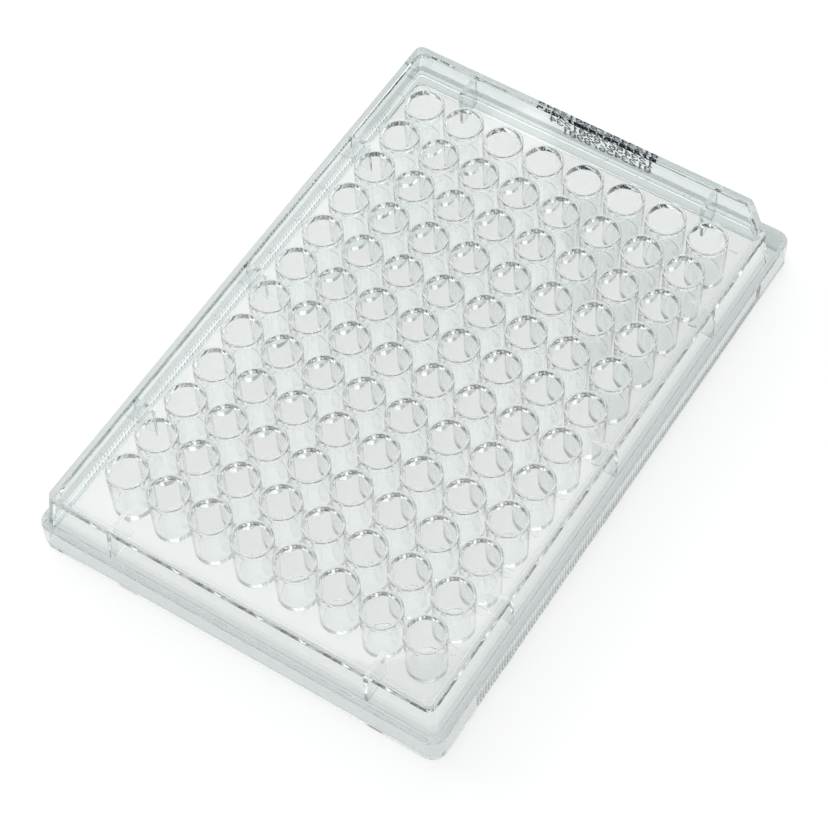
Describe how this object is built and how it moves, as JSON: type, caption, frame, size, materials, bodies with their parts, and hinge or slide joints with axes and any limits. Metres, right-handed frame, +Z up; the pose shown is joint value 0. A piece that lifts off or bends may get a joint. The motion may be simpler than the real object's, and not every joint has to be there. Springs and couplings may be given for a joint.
{
  "type": "well plate",
  "caption": "Clear flat-bottomed plate of small round wells in rows and columns, for holding, mixing and reading many liquid samples in a laboratory.",
  "frame": {"origin": "centre of the footprint, on the plane that the skirt stands on", "axes": "+X along the rows of wells from column 1 to column 12, +Y towards row A, +Z up"},
  "size_m": [0.1278, 0.0854, 0.0142],
  "materials": {
    "clear_polystyrene": "glossy, clear moulded polystyrene"
  },
  "bodies": {
    "root": {"well_plate": "clear_polystyrene"}
  },
  "joints": []
}
